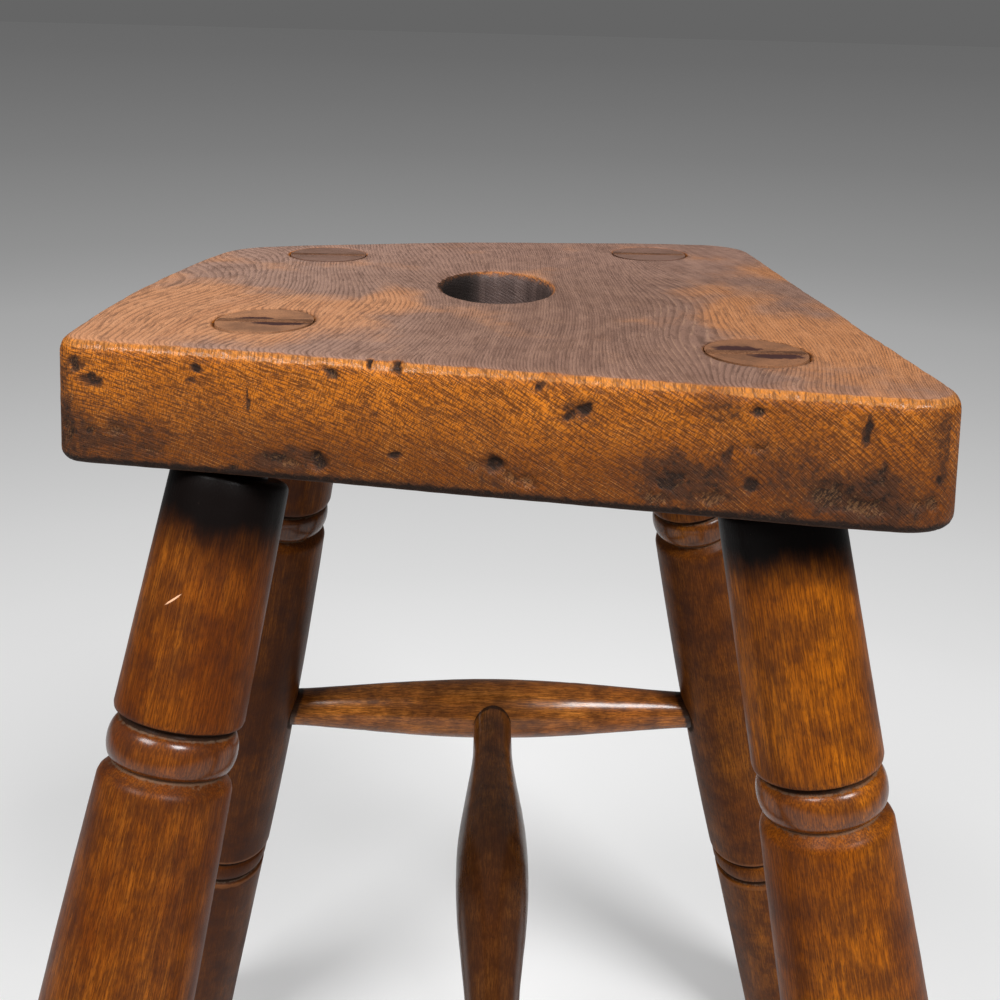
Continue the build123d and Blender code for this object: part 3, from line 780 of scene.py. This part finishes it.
# Painted shade: faces that turn down, under the seat, are made darker.
below = fade(tree, facing[2], -0.5, -0.9)
bend = {"Place": along_grain, "Wander": 0.006, "Wander Size": 0.07, "Seed": 3.0, "Pith Distance": 0.48}
grain = use(tree, bent_grain, bend)
rings = use(tree, growth_rings, {"Distance": grain["Distance"], "Spacing": 0.0013, "Place": spot})
bend = {"Place": along_grain, "Wander": 0.030, "Wander Size": 0.11, "Seed": 8.0, "Pith Distance": 0.48}
figure = use(tree, bent_grain, bend)
figure_rings = use(tree, growth_rings, {"Distance": figure["Distance"], "Spacing": 0.00068, "Place": spot})
dashes = pore_mask(tree, grain["Ring Place"], (0.00024, 0.0022, 0.02), 0.7, 1.0)
rays = pore_mask(tree, grain["Ring Place"], (0.0008, 0.0002, 0.005), 0.8, 2.0)
top_pores = pore_mask(tree, figure["Ring Place"], (0.00022, 0.001, 0.005), 0.6, 9.0)
clouds = blotch_mask(tree, spot, 0.05, 0.5, 0.2, 4.0)
small_clouds = blotch_mask(tree, spot, 0.012, 0.35, 0.12, 5.0)
rub_and_highlight = patch_mask(tree, painted(tree, "rubbed_and_highlight"), spot, 0.003, 0.3)
# The painted dirt also holds painted shade, so these masks darken dirty places and shaded places alike.
dirt_and_shade_patch = patch_mask(tree, painted(tree, "dirt_and_shade"), spot, 0.0018, 0.9)
black_dirt_and_shade = patch_mask(tree, calc(tree, "SUBTRACT", painted(tree, "dirt_and_shade"), 0.3), spot, 0.0012, 1.0)
soft_dirt_and_shade = fade(tree, painted(tree, "dirt_and_shade"), 0.0, 0.7)
tear = patch_mask(tree, painted(tree, "torn"), spot, 0.0006, 1.5)
fine_scratch = use(tree, scratches, {"Place": spot, "Amount": 0.12, "Seed": 6.0})["Mask"]

spot_parts = add(tree, "SeparateXYZ", {0: spot}).outputs
# Painted shade: the near face's orange is made darker towards its bottom and towards its right end.
lower = fade(tree, spot_parts[2], SEAT_TOP - 9 * MM, UNDERSIDE + 9 * MM)
to_right = fade(tree, spot_parts[0], (SEAT_X + 10) * MM, (SEAT_X + 75) * MM)
sheen_far_off = fade(tree, spot_parts[1], (SEAT_Y - 10) * MM, (SEAT_Y + 90) * MM)
orange = layer(tree, rings["Tone"], (0.95, 0.30, 0.024), (0.62, 0.175, 0.010))
orange = coats(tree, orange, (
    (lower, 0.88, (0.12, 0.032, 0.004)),
    (to_right, 0.52, (0.14, 0.034, 0.003)),
    (clouds, 0.5, (0.19, 0.048, 0.004)),
    (small_clouds, 0.36, (0.10, 0.027, 0.004)),
))
grey = layer(tree, figure_rings["Tone"], (0.30, 0.172, 0.125), (0.17, 0.092, 0.066))
# Painted sheen: the grey top is made lighter towards the far side and towards the left.
grey = layer(tree, calc(tree, "MULTIPLY", sheen_far_off, 0.45), grey, (0.38, 0.22, 0.17))
sheen_to_left = fade(tree, spot_parts[0], (SEAT_X + 20) * MM, (SEAT_X - 90) * MM)
grey = coats(tree, grey, (
    (sheen_to_left, 0.5, (0.42, 0.26, 0.20)),
    (small_clouds, 0.35, (0.12, 0.062, 0.042)),
))
warm_top = layer(tree, figure_rings["Tone"], (0.66, 0.31, 0.145), (0.42, 0.17, 0.072))
warm_top = layer(tree, calc(tree, "MULTIPLY", to_right, 0.6), warm_top, (0.42, 0.155, 0.042))
warm_share = patch_mask(tree, painted(tree, "warm"), spot, 0.02, 0.4)
top_colour = coats(tree, grey, (
    (warm_share, 0.85, warm_top),
    (figure_rings["Line"], 0.5, (0.07, 0.036, 0.024)),
    (figure_rings["Pale"], 0.2, (0.6, 0.36, 0.22)),
))
speckle = pore_mask(tree, spot, (0.00022, 0.00045, 0.001), 0.85, 14.0)
top_colour = coats(tree, top_colour, (
    (top_pores, 0.35, (0.07, 0.035, 0.025)),
    (speckle, 0.22, (0.06, 0.03, 0.02)),
))
end_colour = coats(tree, orange, (
    (rings["Line"], 0.45, (0.12, 0.034, 0.008)),
    (rings["Pale"], 0.35, (0.75, 0.32, 0.08)),
    (dashes, 0.7, (0.08, 0.024, 0.007)),
    (rays, 0.65, (0.07, 0.022, 0.006)),
))
ticks = pore_mask(tree, spot, (0.0003, 0.0022, 0.0022), 0.7, 12.0)
colour = layer(tree, on_top, end_colour, top_colour)
colour = coats(tree, colour, (
    (rub_and_highlight, 0.34, (0.74, 0.30, 0.075)),
    (calc(tree, "MULTIPLY", ticks, rub_and_highlight), 0.6, (0.07, 0.03, 0.015)),
    (soft_dirt_and_shade, 0.6, (0.06, 0.021, 0.009)),
    (dirt_and_shade_patch, 0.7, (0.04, 0.017, 0.009)),
    (black_dirt_and_shade, 0.85, (0.014, 0.008, 0.006)),
    (tear, 0.26, layer(tree, rays, (0.34, 0.16, 0.06), (0.05, 0.022, 0.010))),
    (below, 0.7, (0.07, 0.032, 0.018)),
))
streak = pore_mask(tree, spot, (0.002, 0.002, 0.05), 1.0, 15.0)
# The hand hole's wall: grey grime with streaks, and painted shade that darkens it towards its left.
hand_grime_and_shade = coats(tree, (0.12, 0.08, 0.07), (
    (streak, 0.5, (0.045, 0.03, 0.027)),
    (soft_dirt_and_shade, 0.95, (0.012, 0.009, 0.008)),
))
colour = layer(tree, painted(tree, "hand"), colour, hand_grime_and_shade)
tree.links.new(colour, shader.inputs["Base Color"])
gloss = fade(tree, rub_and_highlight, 0, 1, 0.42, 0.2)
gloss = calc(tree, "ADD", gloss, calc(tree, "MULTIPLY", dirt_and_shade_patch, 0.2))
gloss = calc(tree, "ADD", gloss, calc(tree, "MULTIPLY", small_clouds, 0.1), clamp=True)
tree.links.new(gloss, shader.inputs["Roughness"])
shader.inputs["Specular IOR Level"].default_value = 0.15
height = calc(tree, "MULTIPLY", calc(tree, "ADD", rings["Line"], dashes), fade(tree, on_top, 0, 1, -0.6, 0))
top_height = calc(tree, "ADD", figure_rings["Line"], top_pores)
top_height = calc(tree, "MULTIPLY", top_height, calc(tree, "MULTIPLY", on_top, 0.45))
height = calc(tree, "SUBTRACT", height, top_height)
height = calc(tree, "SUBTRACT", height, calc(tree, "MULTIPLY", rays, fade(tree, on_top, 0, 1, 0.25, 0)))
height = calc(tree, "MULTIPLY", height, fade(tree, rub_and_highlight, 0, 1, 1, 0.35))
height = calc(tree, "ADD", height, calc(tree, "MULTIPLY", tear, 0.6))
height = calc(tree, "SUBTRACT", height, calc(tree, "MULTIPLY", fine_scratch, 0.4))
height = calc(tree, "SUBTRACT", height, calc(tree, "MULTIPLY", black_dirt_and_shade, 0.8))
relief = add(tree, "Bump", {"Strength": 0.5, "Distance": 0.0004, "Height": height})
tree.links.new(relief.outputs[0], shader.inputs["Normal"])
seat.data.materials.clear()
seat.data.materials.append(elm)

# %% [markdown]
# ## Beech
# The legs and bars are beech, stained red-brown and waxed. Beech shows short dark flecks along
# the grain and little else, so the life comes from the stain: darker and redder in clouds,
# grey-tan dust in the grooves, and paler on the arrises. Just under the seat each leg is
# painted black, a painted shadow of the seat. Each piece has its own Mapping node, which stands
# the pattern along the piece, and its own seed.


# %% A beech material for one turned piece
def beech(name, axis, seed, light, deep, tenon_end=None, seat_shadow=0, marks=(), darker_from=None):
    """axis is the matrix that laid the piece. A leg has a tenon_end colour, and is black for a
    distance of seat_shadow below the seat, a painted shadow of the seat. A bar that darkens along itself does so
    from darker_from."""
    wood, tree, shader = new_wood(name)
    undo = axis.inverted()
    where = place_on(tree, undo.to_translation(), undo.to_euler("XYZ"))
    fleck = pore_mask(tree, where, (0.00016, 0.00016, 0.0014), 0.6, seed)
    fibre = pore_mask(tree, where, (0.0008, 0.0008, 0.03), 0.95, seed + 1)
    hair = pore_mask(tree, where, (0.00028, 0.00028, 0.006), 0.85, seed + 6)
    long_place = add(tree, "VectorMath", {0: where, 1: (1, 1, 0.4)}, operation="MULTIPLY").outputs[0]
    clouds = blotch_mask(tree, long_place, 0.020, 0.58, 0.17, seed + 2)
    smudge = blotch_mask(tree, where, 0.008, 0.46, 0.16, seed + 3)
    grime = patch_mask(tree, painted(tree, "dirt_and_shade"), where, 0.002, 0.3)
    dust = patch_mask(tree, painted(tree, "dusty"), where, 0.0012, 0.7)
    pale = patch_mask(tree, painted(tree, "rubbed_and_highlight"), where, 0.004, 0.4)
    scratch = use(tree, scratches, {"Place": where, "Amount": 0.02, "Seed": seed + 4})["Mask"]
    colour = layer(tree, clouds, light, deep)
    colour = coats(tree, colour, (
        (fibre, 0.5, deep),
        (hair, 0.5, (0.05, 0.013, 0.003)),
        (fleck, 0.45, (0.03, 0.008, 0.003)),
        (smudge, 0.62, (0.035, 0.011, 0.006)),
        (pale, 0.3, (0.36, 0.14, 0.05)),
    ))
    if tenon_end:
        down = add(tree, "SeparateXYZ", {0: where}).outputs[2]
        # Painted shadow: just below the seat the leg fades to black, as the seat's shadow.
        wavy = calc(tree, "ADD", down, calc(tree, "MULTIPLY", clouds, 0.010))
        colour = layer(tree, fade(tree, wavy, -seat_shadow, -0.35 * seat_shadow), colour, (0.004, 0.0025, 0.0022))
        tenon_end = coats(tree, tenon_end, (
            (fleck, 0.6, (0.10, 0.05, 0.03)),
            (smudge, 0.6, (0.10, 0.05, 0.03)),
        ))
        colour = layer(tree, fade(tree, down, 0.020, 0.025), colour, tenon_end)
    if darker_from:
        along = add(tree, "SeparateXYZ", {0: where}).outputs[2]
        darker = fade(tree, along, darker_from, darker_from + 110 * MM, 0, 0.75)
        colour = layer(tree, darker, colour, (0.03, 0.009, 0.003))
    colour = coats(tree, colour, (
        (grime, 0.85, (0.02, 0.012, 0.008)),
        (dust, 0.5, (0.15, 0.105, 0.07)),
    ))
    for centre, size, rotation, ragged, tint in marks:
        colour = layer(tree, oval_mark(tree, centre, size, rotation, 0.35, ragged), colour, tint)
    tree.links.new(colour, shader.inputs["Base Color"])
    polish = painted(tree, "polished")
    gloss = calc(tree, "ADD", fade(tree, clouds, 0, 1, 0.30, 0.40), calc(tree, "MULTIPLY", polish, -0.08))
    gloss = calc(tree, "ADD", gloss, calc(tree, "MULTIPLY", grime, 0.35))
    gloss = calc(tree, "ADD", gloss, calc(tree, "MULTIPLY", dust, 0.3), clamp=True)
    tree.links.new(gloss, shader.inputs["Roughness"])
    shader.inputs["Specular IOR Level"].default_value = 0.07
    coat = calc(tree, "MULTIPLY", calc(tree, "ADD", polish, 0.03), 0.6)
    tree.links.new(coat, shader.inputs["Coat Weight"])
    shader.inputs["Coat Roughness"].default_value = 0.2
    height = calc(tree, "ADD", calc(tree, "MULTIPLY", fleck, -0.5), calc(tree, "MULTIPLY", fibre, 0.2))
    height = calc(tree, "SUBTRACT", height, calc(tree, "MULTIPLY", scratch, 0.5))
    relief = add(tree, "Bump", {"Strength": 0.2, "Distance": 0.0003, "Height": height})
    tree.links.new(relief.outputs[0], shader.inputs["Normal"])
    return wood


# %% The stain of each leg: light, deep, the end of its tenon, and how far down the seat's painted shadow makes it black
# Each leg's light and deep are partly its own stain and partly painted light and shade: lighter
# where the leg is lit more, as on the front right, and darker where it is in shade, as on the rear left.
LEG_STAINS_AND_SHADE = {
    "front_left": ((0.36, 0.106, 0.010), (0.135, 0.030, 0.003), (0.33, 0.155, 0.078), 42 * MM),
    "front_right": ((0.54, 0.158, 0.006), (0.21, 0.052, 0.003), (0.27, 0.12, 0.058), 30 * MM),
    "rear_left": ((0.24, 0.070, 0.005), (0.08, 0.021, 0.003), (0.22, 0.125, 0.094), 12 * MM),
    "rear_right": ((0.40, 0.125, 0.009), (0.17, 0.046, 0.005), (0.20, 0.112, 0.084), 12 * MM),
}
DARK_WOOD, FRESH_NICK = (0.045, 0.018, 0.016), (0.75, 0.42, 0.25)


def tenon_marks(name, shares):
    """Dark patches beside a wedge: (along it, off it, half length, half width), in millimetres."""
    top = LEG_TOP[name] + LEG_DOWN[name] * (SEAT_TOP - LEG_TOP[name].z) / LEG_DOWN[name].z
    return [((top.x + along * MM, top.y + off * MM, SEAT_TOP), (half * MM, wide * MM, 4 * MM),
             (0, 0, 0), 0.9, DARK_WOOD) for along, off, half, wide in shares]


# A mark is (centre, half lengths, rotation, how ragged, colour).
NICK = ((-124.1 * MM, -84.8 * MM, 532.9 * MM), (4.2 * MM, 9 * MM, 0.36 * MM), (0, radians(-35), 0), 0, FRESH_NICK)
MARKS = {
    "front_left": tenon_marks("front_left", [(6, -3.4, 12, 4.2), (-4, 3.2, 8, 2.2)]) + [NICK],
    "front_right": tenon_marks("front_right", [(-6, 4.2, 10, 5.0), (6, -4.0, 11, 4.8)]),
    "rear_left": [],
    "rear_right": [],
}

# %% Give each turned piece its beech
for seed, (name, leg) in enumerate(legs.items()):
    wood = beech("beech_leg_" + name, stands[name], seed * 10.0, *LEG_STAINS_AND_SHADE[name], MARKS[name])
    leg.data.materials.clear()
    leg.data.materials.append(wood)
CROSS_STAIN = ((0.84, 0.30, 0.050), (0.42, 0.125, 0.018))
CENTRE_STAIN = ((0.62, 0.23, 0.040), (0.20, 0.060, 0.012))
for seed, (side, (piece, lay)) in enumerate(bars.items()):
    stain, darker_from = (CENTRE_STAIN, 35 * MM) if side == "centre" else (CROSS_STAIN, None)
    wood = beech("beech_bar_" + side, lay, 50 + seed * 10.0, *stain, darker_from=darker_from)
    piece.data.materials.append(wood)
for name, wedge in wedges.items():
    light = (0.36, 0.17, 0.08) if name.startswith("front") else (0.22, 0.125, 0.09)
    wood = beech("wedge_wood_" + name, Matrix.Identity(4), 90.0, light, (0.2, 0.095, 0.05))
    wedge.data.materials.append(wood)

# %% [markdown]
# ## Floor
# A studio floor of pale paper that falls away into a darker background. The fall is a painted
# pool of light, by distance from the stool, so it looks the same from every side. Part of the
# paper's brightness is a glow of its own, which stands for the many lamps of a studio, and near
# the stool it also lightens the stool's shadows. Only the camera sees all of that glow,
# because at full strength it would light the stool too much from below.

# %% Floor
b = bmesh.new()
bmesh.ops.create_circle(b, cap_ends=True, radius=150, segments=96)
floor_mesh = bpy.data.meshes.new("floor")
b.to_mesh(floor_mesh)
b.free()
floor = bpy.data.objects.new("floor", floor_mesh)
SCENE.collection.objects.link(floor)
paper, tree, shader = new_wood("paper_floor")
where = add(tree, "TexCoord").outputs["Object"]
away = add(tree, "VectorMath", {0: where}, operation="LENGTH").outputs["Value"]
squeezed = calc(tree, "DIVIDE", away, calc(tree, "ADD", away, 2.0))
# A painted pool of light: the paper's colour falls with distance from the stool. The glow is painted light too.
PAPER_LIGHT_POOL = [
    (0.20, 0.62), (0.32, 0.62), (0.40, 0.58), (0.48, 0.46), (0.585, 0.28), (0.655, 0.0),
    (0.95, 0.0),
]
GLOW = [
    (0.20, 0.32), (0.26, 0.32), (0.34, 0.27), (0.40, 0.27), (0.48, 0.28), (0.585, 0.28),
    (0.655, 0.275), (0.71, 0.237), (0.78, 0.194), (0.86, 0.162), (0.94, 0.137), (0.987, 0.130),
]


def greys(tree, value, stops):
    """A grey that changes with a value, through stops of (value, grey)."""
    band = add(tree, "ValToRGB", {0: value})
    ramp = band.color_ramp.elements
    for (at, grey), stop in zip(stops, [ramp[0], ramp[1]] + [ramp.new(1) for extra in stops[2:]]):
        stop.position, stop.color = at, (grey, grey, grey, 1)
    return band.outputs[0]


tree.links.new(greys(tree, squeezed, PAPER_LIGHT_POOL), shader.inputs["Base Color"])
tree.links.new(greys(tree, squeezed, GLOW), shader.inputs["Emission Color"])
seen = add(tree, "LightPath").outputs["Is Camera Ray"]
glow = calc(tree, "ADD", calc(tree, "MULTIPLY", seen, 0.7), 0.3)
tree.links.new(glow, shader.inputs["Emission Strength"])
shader.inputs["Roughness"].default_value = 0.9
shader.inputs["Specular IOR Level"].default_value = 0.2
floor.data.materials.append(paper)

# %% [markdown]
# ## Light
# Two soft boxes, one high on the left and one nearer the front on the right, make the pair of
# highlights on every bead, and a dim grey surround fills the shadows.


# %% Soft boxes
def soft_box(name, azimuth, elevation, away, size, power):
    """A square light. Azimuth is measured from straight in front, towards the right."""
    lamp = bpy.data.lights.new(name, "AREA")
    lamp.shape = "RECTANGLE"
    lamp.size, lamp.size_y = size
    lamp.energy = power
    box = bpy.data.objects.new(name, lamp)
    aim = Vector((0, 0, 0.5))
    across, up = radians(azimuth), radians(elevation)
    box.location = aim + Vector((sin(across) * cos(up), -cos(across) * cos(up), sin(up))) * away
    box.rotation_euler = (aim - box.location).to_track_quat("-Z", "Y").to_euler()
    SCENE.collection.objects.link(box)


soft_box("left_box", -46, 50, 2.2, (0.8, 0.8), 37)
soft_box("right_box", 34, 47, 2.3, (0.7, 0.7), 54)
world = bpy.data.worlds.new("studio")
SCENE.world = world
world.use_nodes = True
world.node_tree.nodes["Background"].inputs["Color"].default_value = (0.13, 0.13, 0.13, 1)
SCENE.view_settings.view_transform = "Standard"

# %% [markdown]
# ## Camera
# A little above the seat and close in, looking down at the near face.

# %% Camera
lens = bpy.data.cameras.new("camera")
lens.sensor_width = 36
lens.lens = 41.45
lens.clip_end = 400
camera = bpy.data.objects.new("camera", lens)
SCENE.collection.objects.link(camera)
turned_to = Matrix.Rotation(radians(-1.953), 3, "Z") @ Matrix.Rotation(radians(90 - 22.308), 3, "X")
turned_to = turned_to @ Matrix.Rotation(radians(1.486), 3, "Z")
place = Matrix.Translation((-23.3 * MM, -444.7 * MM, SEAT_TOP + 100.1 * MM))
camera.matrix_world = place @ turned_to.to_4x4()
SCENE.camera = camera
